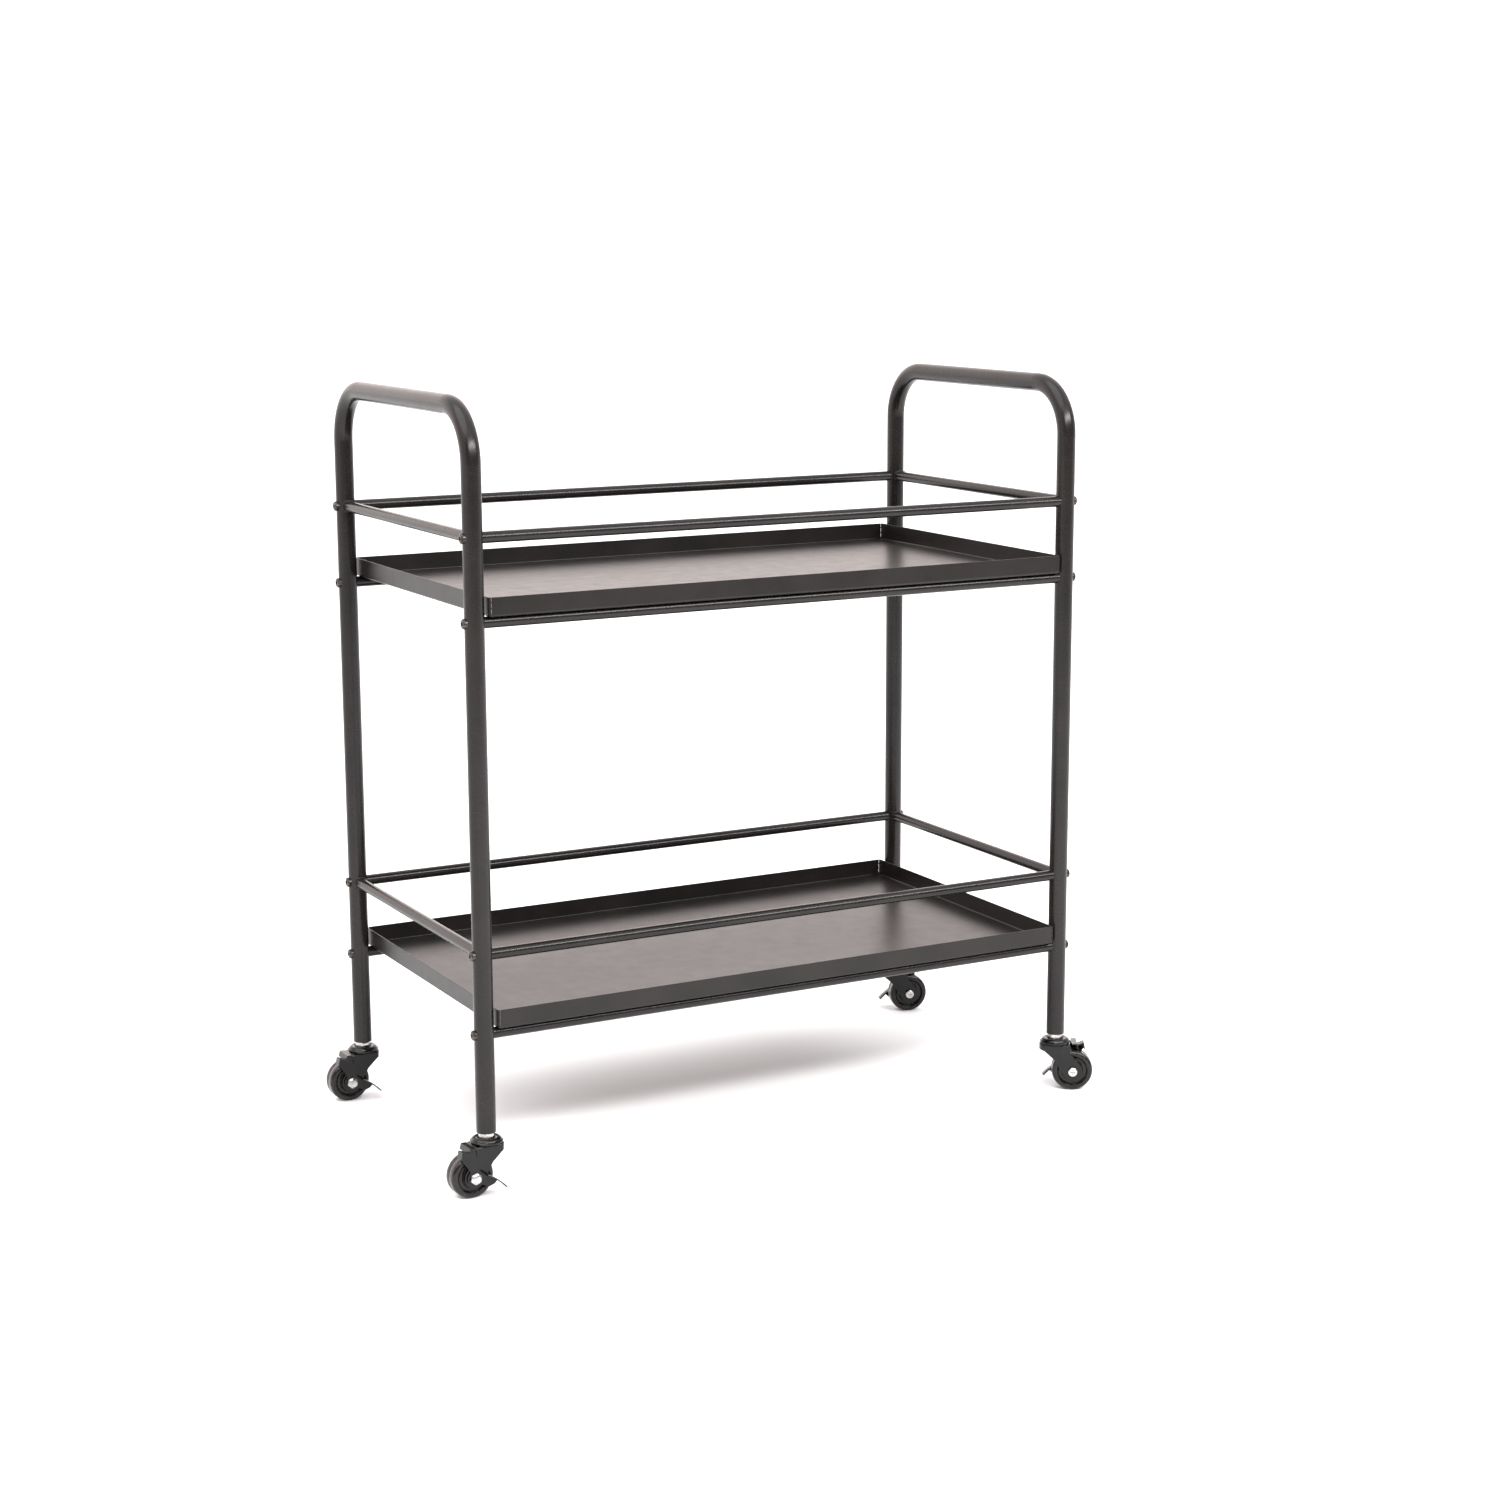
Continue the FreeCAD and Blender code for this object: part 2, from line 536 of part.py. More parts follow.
def wheel():
    """Moulded wheel with rounded tread corners and dished faces, turning on the axle sleeve."""
    axle = at_axle(0, 0)
    bore = AXLE_SLEEVE_DIAMETER / 2 + RUNNING_CLEARANCE
    hub_half = FORK_INNER - HUB_SIDE_GAP
    corner = WHEEL_CORNER_RADIUS
    right = [
        V(bore, hub_half, 0),
        V(WHEEL_HUB_RADIUS, hub_half, 0),
        V(WHEEL_HUB_RADIUS + WHEEL_DRAFT, WHEEL_WEB_HALF_WIDTH, 0),
        V(WHEEL_RIM_INNER_RADIUS - WHEEL_DRAFT, WHEEL_WEB_HALF_WIDTH, 0),
        V(WHEEL_RIM_INNER_RADIUS, WHEEL_HALF, 0),
        V(WHEEL_RADIUS - corner, WHEEL_HALF, 0),
    ]
    left = [V(p.x, -p.y, 0) for p in reversed(right)]
    upper_corner = arc(V(WHEEL_RADIUS - corner, WHEEL_HALF - corner, 0), corner, 90, 0)
    lower_corner = arc(V(WHEEL_RADIUS - corner, corner - WHEEL_HALF, 0), corner, 0, -90)
    edges = [line(a, b) for a, b in zip(right[:-1], right[1:])]
    edges.append(upper_corner)
    edges.append(line(V(WHEEL_RADIUS, WHEEL_HALF - corner, 0), V(WHEEL_RADIUS, corner - WHEEL_HALF, 0)))
    edges.append(lower_corner)
    edges += [line(a, b) for a, b in zip(left[:-1], left[1:])]
    edges.append(line(left[-1], right[0]))
    disc = Part.Face(Part.Wire(edges)).revolve(V(0, 0, 0), Y_AXIS, 360)
    disc.translate(axle)
    return disc


def lever_plate(edges):
    """Flat piece of the lever plate inside closed edges."""
    plate = Part.Face(Part.Wire(edges)).extrude(V(0, LEVER_SHEET, 0))
    plate.translate(V(0, LEVER_INNER, 0))
    return plate


def bent_arc(start, end, rise, low_y, high_y):
    """Curved strip from start to end that bows upwards by rise, one lever sheet thick."""
    chord = end.sub(start)
    half = chord.Length / 2
    radius = (half ** 2 + rise ** 2) / (2 * rise)
    up = V(chord.z, 0, -chord.x).normalize()
    if up.z < 0:
        up = up.negative()
    middle = start.add(end).multiply(0.5)
    centre = middle.sub(up * (radius - rise))

    def ring_point(point, offset):
        """Point moved out from the arc's centre by offset."""
        return point.add(point.sub(centre).normalize() * offset)

    crest = middle.add(up * rise)
    under = -LEVER_SHEET
    edges = [
        Part.Arc(start, crest, end).toShape(),
        line(end, ring_point(end, under)),
        Part.Arc(ring_point(end, under), ring_point(crest, under), ring_point(start, under)).toShape(),
        line(ring_point(start, under), start),
    ]
    strip = Part.Face(Part.Wire(edges)).extrude(V(0, high_y - low_y, 0))
    strip.translate(V(0, low_y, 0))
    return strip


def cross_strip(outline, reach):
    """Bent strip that runs back over the wheel from the lever plate's outer face."""
    strip = Part.Face(polygon(outline)).extrude(V(0, reach, 0))
    strip.translate(V(0, LEVER_OUTER - reach, 0))
    return strip


def bent_outline(points, sheet):
    """Closed outline of a sheet bent along points, its thickness laid below them."""
    below = [V(p.x, 0, p.z - sheet) for p in points]
    below[-1] = V(points[-1].x - sheet, 0, points[-1].z)
    middle = points[-2]
    below[-2] = V(middle.x - sheet, 0, middle.z - sheet)
    return list(points) + below[::-1]


def brake_lever():
    """Pressed brake lever on the axle: a hub, an ON pedal, a turned-down OFF pedal and a kick hook."""
    axle = at_axle(0, 0)
    hub = Part.makeCylinder(LEVER_HUB_RADIUS, LEVER_SHEET, V(axle.x, LEVER_INNER, axle.z), Y_AXIS)
    pedal_root = at_axle(*ON_PEDAL_ROOT)
    pedal_tip = at_axle(*ON_PEDAL_TIP)
    web_points = [at_axle(-LEVER_ARM_FOOT, LEVER_ARM_FOOT), pedal_root] + [at_axle(*p) for p in ON_WEB_EDGE]
    web = lever_plate(polygon(web_points).Edges)
    on_pedal = bent_arc(pedal_root, pedal_tip, ON_PEDAL_BOW, LEVER_INNER, LEVER_OUTER + ON_PEDAL_REACH)
    off_top = WHEEL_RADIUS + OFF_PEDAL_RISE
    off_near = RACE_RADIUS + OFF_PEDAL_RACE_GAP - CASTER_TRAIL
    off_far = off_near + OFF_PEDAL_LENGTH
    off_bend = [
        at_axle(off_near, off_top),
        at_axle(off_far, off_top),
        at_axle(off_far + OFF_TAB_RUN, off_top - OFF_TAB_DROP),
    ]
    hook_bend = [at_axle(*HOOK_FOOT), at_axle(*HOOK_CREST), at_axle(*HOOK_TIP)]
    off_arm_points = [at_axle(-LEVER_ARM_FOOT, 0), off_bend[0], off_bend[1], at_axle(LEVER_ARM_FOOT, 0)]
    off_arm = lever_plate(polygon(off_arm_points).Edges)
    hook_arm_points = [at_axle(0, 0), at_axle(*HOOK_FOOT), at_axle(*HOOK_CREST), at_axle(*HOOK_TIP)]
    hook_arm = lever_plate(polygon(hook_arm_points).Edges)
    off_pedal = cross_strip(bent_outline(off_bend, LEVER_SHEET), OFF_PEDAL_REACH)
    hook = cross_strip(bent_outline(hook_bend, LEVER_SHEET), HOOK_REACH)
    bore_start = V(axle.x, LEVER_INNER - LEVER_SHEET, axle.z)
    bore = Part.makeCylinder(AXLE_RADIUS + RUNNING_CLEARANCE, 3 * LEVER_SHEET, bore_start, Y_AXIS)
    return fused([hub, web, on_pedal, off_arm, hook_arm, off_pedal, hook]).cut(bore)


CASTER_PIECES = {
    "caster_stem": caster_stem,
    "top_race": top_race,
    "race_balls": race_balls,
    "fork": fork,
    "axle_bolt": axle_bolt,
    "axle_sleeve": axle_sleeve,
    "axle_nut": axle_nut,
    "wheel": wheel,
    "brake_lever": brake_lever,
}


def place_on_leg(shape, corner):
    """Copy of a caster piece, turned to its trail direction and moved under its leg."""
    x, y = LEG_PLACES[corner]
    placed = shape.copy()
    placed.rotate(V(0, 0, 0), Z_AXIS, TRAIL_ANGLES[corner])
    placed.translate(V(x, y, 0))
    return placed


def build():
    """Write every node."""
    os.makedirs("parts", exist_ok=True)
    for side, x in (("left", -LEG_X), ("right", LEG_X)):
        save(end_frame(x), side + "_end_frame")
        for name, height in CROSS_RAIL_HEIGHTS.items():
            save(cross_rail(x, height), side + "_" + name)
    for side, y in (("front", -LEG_Y), ("rear", LEG_Y)):
        for name, height in LONG_RAIL_HEIGHTS.items():
            save(long_rail(y, height), side + "_" + name)
    for name, height in TRAY_RAIL_HEIGHTS.items():
        save(tray(height), name)

    ends = [(sx, y, z) for sx in (-1, 1) for y in (-LEG_Y, LEG_Y) for z in LONG_RAIL_HEIGHTS.values()]
    save(Part.makeCompound([frame_bolt(*end) for end in ends]), "frame_bolts")
    save(Part.makeCompound([rail_end_insert(*end) for end in ends]), "rail_end_inserts")
    save(Part.makeCompound([leg_insert(*place) for place in LEG_PLACES.values()]), "leg_inserts")

    for name, make in CASTER_PIECES.items():
        piece = make()
        for corner in LEG_PLACES:
            save(place_on_leg(piece, corner), corner + "_" + name)


build()
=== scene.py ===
"""A rolling bar cart: finishes, weld beads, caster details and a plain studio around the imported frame."""

import json
import logging
import math
from dataclasses import dataclass, field
from enum import Enum
from typing import Callable, Sequence, Union

import bmesh
import bpy
from mathutils import Matrix, Vector


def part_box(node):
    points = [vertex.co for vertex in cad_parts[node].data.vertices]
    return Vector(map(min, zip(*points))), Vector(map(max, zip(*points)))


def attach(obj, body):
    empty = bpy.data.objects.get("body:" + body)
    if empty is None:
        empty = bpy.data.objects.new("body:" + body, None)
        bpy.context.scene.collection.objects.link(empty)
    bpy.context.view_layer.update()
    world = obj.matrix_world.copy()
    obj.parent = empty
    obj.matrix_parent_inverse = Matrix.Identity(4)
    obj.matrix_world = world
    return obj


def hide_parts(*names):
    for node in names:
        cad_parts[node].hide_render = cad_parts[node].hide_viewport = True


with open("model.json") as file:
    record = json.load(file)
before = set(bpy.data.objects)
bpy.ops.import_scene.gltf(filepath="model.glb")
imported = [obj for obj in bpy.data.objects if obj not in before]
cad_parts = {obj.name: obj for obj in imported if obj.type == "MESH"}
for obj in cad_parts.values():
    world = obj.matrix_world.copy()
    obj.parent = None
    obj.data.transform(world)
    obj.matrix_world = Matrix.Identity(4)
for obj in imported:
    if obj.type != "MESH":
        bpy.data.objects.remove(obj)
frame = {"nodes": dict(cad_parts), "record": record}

LOG = logging.getLogger("bar_cart")
MM = 0.001

Colour = tuple[float, float, float]
Value = Union["Socket", float, int, Colour]


class Slot(Enum):
    """Material slots of the part's record."""

    FRAME = "frame_paint"
    TRAY = "tray_paint"
    CASTER = "caster_black"
    WHEEL = "wheel_black"
    ZINC = "zinc"
    BOLT = "bolt_metal"
    BALL = "ball_steel"


class Corner(Enum):
    """The four legs that carry casters."""

    FRONT_LEFT = "front_left"
    REAR_LEFT = "rear_left"
    FRONT_RIGHT = "front_right"
    REAR_RIGHT = "rear_right"


class End(Enum):
    """The two bent end frames, by the side of X they stand on."""

    LEFT = "left"
    RIGHT = "right"


# ---- shader graph helpers ----
class Socket:
    """Output of a shader node, whose arithmetic adds Math nodes."""

    def __init__(self, graph: "Graph", link: bpy.types.NodeSocket) -> None:
        """Wrap a node's output.

        Args:
            graph: Graph that the node belongs to.
            link: The output socket.
        """
        self.graph = graph
        self.link = link

    def _math(self, operation: str, first: Value, second: Value) -> "Socket":
        """Result of a Math node on two values."""
        return self.graph.add("ShaderNodeMath", {"operation": operation}, {0: first, 1: second})

    def __add__(self, other: Value) -> "Socket":
        """Sum of this socket and other."""
        return self._math("ADD", self, other)

    def __radd__(self, other: Value) -> "Socket":
        """Sum of other and this socket."""
        return self._math("ADD", other, self)

    def __sub__(self, other: Value) -> "Socket":
        """This socket less other."""
        return self._math("SUBTRACT", self, other)

    def __rsub__(self, other: Value) -> "Socket":
        """Other less this socket."""
        return self._math("SUBTRACT", other, self)

    def __mul__(self, other: Value) -> "Socket":
        """Product of this socket and other."""
        return self._math("MULTIPLY", self, other)

    def __rmul__(self, other: Value) -> "Socket":
        """Product of other and this socket."""
        return self._math("MULTIPLY", other, self)


class Graph:
    """Node tree of one material or world, built node by node."""

    def __init__(self, tree: bpy.types.NodeTree) -> None:
        """Take over a node tree and empty it."""
        self.tree = tree
        self.tree.nodes.clear()

    def add(
        self,
        kind: str,
        settings: dict[str, object] | None = None,
        inputs: dict[str | int, Value] | None = None,
        output: str | int = 0,
    ) -> Socket:
        """Add a node.

        Args:
            kind: Blender's node type.
            settings: Properties of the node, set first. "stops" gives a colour ramp's stops.
            inputs: Values or links by socket name, identifier or number.
            output: Which of the node's outputs to return.

        Returns:
            The chosen output.
        """
        node = self.tree.nodes.new(kind)
        for name, value in (settings or {}).items():
            if name == "stops":
                self._set_stops(node, value)
            else:
                setattr(node, name, value)
        for key, value in (inputs or {}).items():
            target = self._find(node.inputs, key)
            if isinstance(value, Socket):
                self.tree.links.new(value.link, target)
            elif isinstance(value, tuple) and len(target.default_value) == 4:
                target.default_value = (*value, 1.0)
            else:
                target.default_value = value
        found = self._find(node.outputs, output) if len(node.outputs) else None
        return Socket(self, found)

    @staticmethod
    def _find(sockets: bpy.types.bpy_prop_collection, key: str | int) -> bpy.types.NodeSocket:
        """Socket with that number, identifier or name."""
        if isinstance(key, int):
            return sockets[key]
        for socket in sockets:
            if socket.identifier == key:
                return socket
        return sockets[key]

    @staticmethod
    def _set_stops(node: bpy.types.Node, stops: Sequence[tuple[float, Colour]]) -> None:
        """Give a colour ramp its stops, as pairs of position and colour."""
        ramp = node.color_ramp
        while len(ramp.elements) > 1:
            ramp.elements.remove(ramp.elements[-1])
        for number, (position, colour) in enumerate(stops):
            stop = ramp.elements[0] if number == 0 else ramp.elements.new(position)
            stop.position = position
            stop.color = (*colour, 1.0)

    def place(self) -> Socket:
        """Position on the object, in metres."""
        return self.add("ShaderNodeTexCoord", output="Object")

    def noise(self, where: Socket, size: float, detail: float = 3.0, sharpness: float = 0.5) -> Socket:
        """Noise from 0 to 1.

        Args:
            where: Position in metres.
            size: Width of the noise's features in metres.
            detail: Octaves.
            sharpness: How strong the finer octaves are.

        Returns:
            The noise value.
        """
        return self.add(
            "ShaderNodeTexNoise",
            inputs={"Vector": where, "Scale": 1.0 / size, "Detail": detail, "Roughness": sharpness},
            output="Fac",
        )

    def remap(self, value: Socket, low: float, high: float) -> Socket:
        """Value carried smoothly from low..high to 0..1 and clamped."""
        return self.add(
            "ShaderNodeMapRange",
            {"interpolation_type": "SMOOTHSTEP"},
            {"Value": value, "From Min": low, "From Max": high},
            "Result",
        )

    def mix(self, factor: Value, first: Value, second: Value) -> Socket:
        """Colour between first, at factor 0, and second, at factor 1."""
        return self.add(
            "ShaderNodeMix",
            {"data_type": "RGBA"},
            {"Factor_Float": factor, "A_Color": first, "B_Color": second},
            "Result_Color",
        )

    def bump(self, height: Socket, depth: float, strength: float = 1.0) -> Socket:
        """Normal bent by a height.

        Args:
            height: Height from 0 to 1.
            depth: Real depth of that height in metres.
            strength: Share of the effect.

        Returns:
            The bent normal.
        """
        inputs = {"Height": height, "Distance": depth, "Strength": strength}
        return self.add("ShaderNodeBump", inputs=inputs, output="Normal")


def new_material(name: str, surface: Callable[[Graph], dict[str | int, Value]]) -> bpy.types.Material:
    """Material of one Principled BSDF.

    Args:
        name: The material's name.
        surface: Builds the nodes and returns the shader's sockets.

    Returns:
        The material.
    """
    material = bpy.data.materials.new(name)
    material.use_nodes = True
    graph = Graph(material.node_tree)
    shader = graph.add("ShaderNodeBsdfPrincipled", inputs=surface(graph), output="BSDF")
    graph.add("ShaderNodeOutputMaterial", inputs={"Surface": shader})
    return material


# ---- finishes ----
@dataclass(frozen=True)
class PowderCoat:
    """Fine sandy powder coat on steel."""

    name: str
    deep: Colour
    paler_tone_and_sparkle: Colour
    roughness: float
    grain: float = 0.9 * MM
    grain_depth: float = 0.06 * MM
    grain_strength: float = 0.55
    cloud: float = 70 * MM
    dull_patch: float = 18 * MM
    reflection: float = 1.34

    def build(self) -> bpy.types.Material:
        """The coat's material."""
        return new_material(self.name, self._surface)

    def _surface(self, graph: Graph) -> dict[str | int, Value]:
        """Sockets of the coat: clouded tone, sandy grain, small dull patches and lighter specks of painted
        sparkle.
        """
        where = graph.place()
        cloud = graph.remap(graph.noise(where, self.cloud, 4.0), 0.3, 0.7)
        sand = graph.noise(where, self.grain, 2.0, 0.6)
        # Lighter specks in the base colour: painted sparkle, the coat's glints put in as colour.
        painted_sparkle_speck = graph.remap(graph.noise(where, 2.2 * self.grain, 1.0), 0.58, 0.72)
        tone = graph.mix(cloud * 0.6 + painted_sparkle_speck * 0.4, self.deep, self.paler_tone_and_sparkle)
        dull = graph.noise(where, self.dull_patch, 2.0)
        return {
            "Base Color": tone,
            "Roughness": self.roughness + (dull - 0.5) * 0.1 + painted_sparkle_speck * 0.05,
            "IOR": self.reflection,
            "Normal": graph.bump(sand, self.grain_depth, self.grain_strength),
        }


@dataclass(frozen=True)
class GlossCoat:
    """Thin glossy black coat on pressed steel, with a slight orange peel."""

    name: str
    colour: Colour
    rubbed: Colour
    roughness: float
    rub_patch: float = 7 * MM
    peel: float = 1.6 * MM
    peel_depth: float = 0.05 * MM
    reflection: float = 1.36

    def build(self) -> bpy.types.Material:
        """The coat's material."""
        return new_material(self.name, self._surface)

    def _surface(self, graph: Graph) -> dict[str | int, Value]:
        """Sockets of the coat: rubbed patches over an even black."""
        where = graph.place()
        rub = graph.remap(graph.noise(where, self.rub_patch, 4.0), 0.52, 0.7)
        peel = graph.noise(where, self.peel, 2.0)
        return {
            "Base Color": graph.mix(rub, self.colour, self.rubbed),
            "Roughness": self.roughness + rub * 0.12,
            "IOR": self.reflection,
            "Normal": graph.bump(peel, self.peel_depth, 0.5),
        }


@dataclass(frozen=True)
class MouldedPlastic:
    """Hard black plastic of a caster wheel, with brown patches all over it that are partly dust and partly
    painted sheen.
    """

    name: str
    colour: Colour
    dust_and_sheen: Colour
    roughness: float
    dust_and_sheen_patch: float = 5 * MM
    skin: float = 0.6 * MM
    skin_depth: float = 0.02 * MM
    reflection: float = 1.38

    def build(self) -> bpy.types.Material:
        """The plastic's material."""
        return new_material(self.name, self._surface)

    def _surface(self, graph: Graph) -> dict[str | int, Value]:
        """Sockets of the plastic: brown patches of dust and painted sheen, and a fine moulded skin."""
        where = graph.place()
        # Brown patches: dust, and a painted brownish sheen standing in for light on the wheel.
        dust_and_sheen_mask = graph.remap(graph.noise(where, self.dust_and_sheen_patch, 5.0, 0.6), 0.45, 0.75)
        skin = graph.noise(where, self.skin, 2.0)
        return {
            "Base Color": graph.mix(dust_and_sheen_mask * 0.7, self.colour, self.dust_and_sheen),
            "Roughness": self.roughness + dust_and_sheen_mask * 0.15,
            "IOR": self.reflection,
            "Normal": graph.bump(skin, self.skin_depth, 0.5),
        }


@dataclass(frozen=True)
class PlatedMetal:
    """Plated steel, with a clouded plate and fine tool marks."""

    name: str
    bright: Colour
    tarnished: Colour
    roughness: float
    cloud: float = 6 * MM
    mark: float = 0.5 * MM
    mark_depth: float = 0.01 * MM

    def build(self) -> bpy.types.Material:
        """The plate's material."""
        return new_material(self.name, self._surface)

    def _surface(self, graph: Graph) -> dict[str | int, Value]:
        """Sockets of the plate: clouded tone and faint marks."""
        where = graph.place()
        cloud = graph.remap(graph.noise(where, self.cloud, 4.0), 0.35, 0.7)
        marks = graph.noise(where, self.mark, 3.0)
        return {
            "Base Color": graph.mix(cloud, self.bright, self.tarnished),
            "Metallic": 1.0,
            "Roughness": self.roughness + cloud * 0.12 + marks * 0.05,
            "Normal": graph.bump(marks, self.mark_depth, 0.5),
        }


@dataclass(frozen=True)
class PaleFloor:
    """Seamless pale studio floor."""

    name: str = "studio_floor"
    colour: Colour = (0.90, 0.90, 0.90)
    shaded: Colour = (0.88, 0.88, 0.88)
    cloud: float = 0.8

    def build(self) -> bpy.types.Material:
        """The floor's material."""
        return new_material(self.name, self._surface)

    def _surface(self, graph: Graph) -> dict[str | int, Value]:
        """Sockets of the floor: an almost even matt white."""
        cloud = graph.noise(graph.place(), self.cloud, 2.0)
        tone = graph.mix(cloud, self.colour, self.shaded)
        return {"Base Color": tone, "Roughness": 0.9, "Specular IOR Level": 0.1}


@dataclass
class Finishes:
    """One material for each slot of the record."""

    materials: dict[Slot, bpy.types.Material] = field(default_factory=dict)

    def build(self) -> None:
        """Make every finish."""
        recipes = {
            # The second colour of each powder coat is its paler tone, which also carries the painted
            # sparkle.
            Slot.FRAME: PowderCoat(
                "frame_powder_coat", (0.0060, 0.0049, 0.0045), (0.013, 0.0103, 0.0093), 0.24
            ),
            Slot.TRAY: PowderCoat(
                "tray_powder_coat",
                (0.0065, 0.0052, 0.0048),
                (0.014, 0.0110, 0.010),
                0.31,
                grain_depth=0.02 * MM,
            ),
            Slot.CASTER: GlossCoat(
                "caster_gloss_black", (0.0035, 0.0033, 0.0033), (0.008, 0.0068, 0.0064), 0.12
            ),
            # The wheel's second colour is brown dust together with painted sheen.
            Slot.WHEEL: MouldedPlastic(
                "wheel_plastic", (0.0055, 0.0046, 0.0044), (0.028, 0.0195, 0.017), 0.22
            ),
            Slot.ZINC: PlatedMetal("zinc_plate", (0.60, 0.585, 0.57), (0.40, 0.385, 0.37), 0.22),
            Slot.BOLT: PlatedMetal("bronze_plate", (0.075, 0.066, 0.060), (0.032, 0.027, 0.024), 0.26),
            Slot.BALL: PlatedMetal("ball_steel", (0.85, 0.85, 0.85), (0.75, 0.75, 0.74), 0.1),
        }
        self.materials = {slot: recipe.build() for slot, recipe in recipes.items()}

    def dress(self, node: str, slot: Slot) -> None:
        """Put a slot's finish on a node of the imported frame."""
        shown = frame["nodes"][node]
        for material_slot in shown.material_slots:
            material_slot.material = self.materials[slot]


# ---- pieces ----
class Shape:
    """Mesh under construction, in metres."""

    def __init__(self) -> None:
        """Start an empty mesh."""
        self.mesh = bmesh.new()

    def loop(self, points: Sequence[Vector]) -> list[bmesh.types.BMVert]:
        """New corners at points."""
        return [self.mesh.verts.new(point) for point in points]

    def bridge(self, first: list[bmesh.types.BMVert], second: list[bmesh.types.BMVert]) -> None:
        """Band of faces between two closed loops of the same length."""
        count = len(first)
        for i in range(count):
            j = (i + 1) % count
            self.mesh.faces.new((first[i], first[j], second[j], second[i]))

    def piece(self, name: str, material: bpy.types.Material, body: str) -> bpy.types.Object:
        """Turn the mesh into a piece of the cart.

        Args:
            name: The piece's name.
            material: Its finish.
            body: The body it rides on.

        Returns:
            The piece.
        """
        bmesh.ops.recalc_face_normals(self.mesh, faces=self.mesh.faces)
        data = bpy.data.meshes.new(name)
        self.mesh.to_mesh(data)
        self.mesh.free()
        data.materials.append(material)
        data.shade_smooth()
        made = bpy.data.objects.new(name, data)
        bpy.context.scene.collection.objects.link(made)
        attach(made, body)
        return made


@dataclass(frozen=True)
class EdgeRounding:
    """Small round on the sharp edges of a node, which catches the light as a real part's does."""

    width: float
    turns: int = 2
    sharp: float = math.radians(32)
    flat: float = math.radians(0.6)
    seam: float = 0.001 * MM

    def apply(self, node: str) -> None:
        """Round a node's edges, after closing the seams of its mesh and joining its flat faces."""
        shown = frame["nodes"][node]
        seams = shown.modifiers.new("close_seams", "WELD")
        seams.merge_threshold = self.seam
        joined = shown.modifiers.new("join_flats", "DECIMATE")
        joined.decimate_type = "DISSOLVE"
        joined.angle_limit = self.flat
        rounded = shown.modifiers.new("round_edges", "BEVEL")
        rounded.width = self.width
        rounded.segments = self.turns
        rounded.limit_method = "ANGLE"
        rounded.angle_limit = self.sharp
        rounded.harden_normals = True


@dataclass
class MouldedWheel:
    """Wheel lathed round its axle: a rim, a ring-shaped recess, a stepped hub and a parting line."""

    radius: float = 25.0 * MM
    half_width: float = 10.4 * MM
    corner: float = 4.0 * MM
    bore: float = 5.06 * MM
    hub_radius: float = 9.0 * MM
    hub_half: float = 11.2 * MM
    step_radius: float = 12.3 * MM
    step_half: float = 8.6 * MM
    web_half: float = 6.8 * MM
    rim_inner: float = 18.5 * MM
    draft: float = 0.9 * MM
    edge: float = 0.5 * MM
    parting: float = 0.12 * MM
    turns: int = 128
    round_steps: int = 6

    def _profile(self) -> list[tuple[float, float]]:
        """Half section from bore to mid tread, as pairs of radius and distance along the axle."""
        points = [(self.bore, self.hub_half), (self.hub_radius - self.edge, self.hub_half)]
        points += self._quarter_round(self.hub_radius, self.hub_half, self.edge)
        points += [(self.hub_radius + self.draft / 2, self.step_half + self.edge)]
        points += [(self.hub_radius + self.draft, self.step_half)]
        points += self._quarter_round(self.step_radius, self.step_half, self.edge)
        points += [(self.step_radius + self.draft / 2, self.web_half + self.edge)]
        points += [(self.step_radius + self.draft, self.web_half)]
        points += [(self.rim_inner - self.draft, self.web_half)]
        points += [(self.rim_inner - self.draft / 2, self.web_half + self.edge)]
        points += [(self.rim_inner - self.edge / 2, self.half_width - self.edge)]
        points += [(self.rim_inner + self.edge / 2, self.half_width)]
        points += self._quarter_round(self.radius, self.half_width, self.corner)
        points += [(self.radius, 2 * self.parting), (self.radius - self.parting, 0.0)]
        return points

    def _quarter_round(self, outer: float, face: float, radius: float) -> list[tuple[float, float]]:
        """Quarter round between a face and the cylinder of radius outer."""
        centre_r, centre_y = outer - radius, face - radius
        angles = [math.pi / 2 * (1 - step / self.round_steps) for step in range(self.round_steps + 1)]
        return [(centre_r + radius * math.cos(a), centre_y + radius * math.sin(a)) for a in angles]

    def build(self, corner: "Corner", centre: Vector, axle: Vector, material: bpy.types.Material) -> None:
        """Lathe the wheel and put it in place of the frame's plain one.

        Args:
            corner: The leg that it stands under.
            centre: Its centre.
            axle: Direction of its axle.
            material: Its finish.
        """
        half = self._profile()
        section = half + [(r, -y) for r, y in reversed(half[:-1])]
        level = axle.cross(Vector((0, 0, 1)))
        shape = Shape()
        loops = []
        for r, y in section:
            ring = []
            for turn in range(self.turns):
                angle = 2 * math.pi * turn / self.turns
                spoke = level * math.cos(angle) + Vector((0, 0, math.sin(angle)))
                ring.append(centre + spoke * r + axle * y)
            loops.append(shape.loop(ring))
        for here, there in zip(loops, loops[1:] + loops[:1]):
            shape.bridge(here, there)
        name = corner.value
        made = shape.piece(f"{name}_moulded_wheel", material, f"{name}_wheel_body")
        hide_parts(f"{name}_wheel")
        LOG.info("%s: %d faces", made.name, len(made.data.polygons))


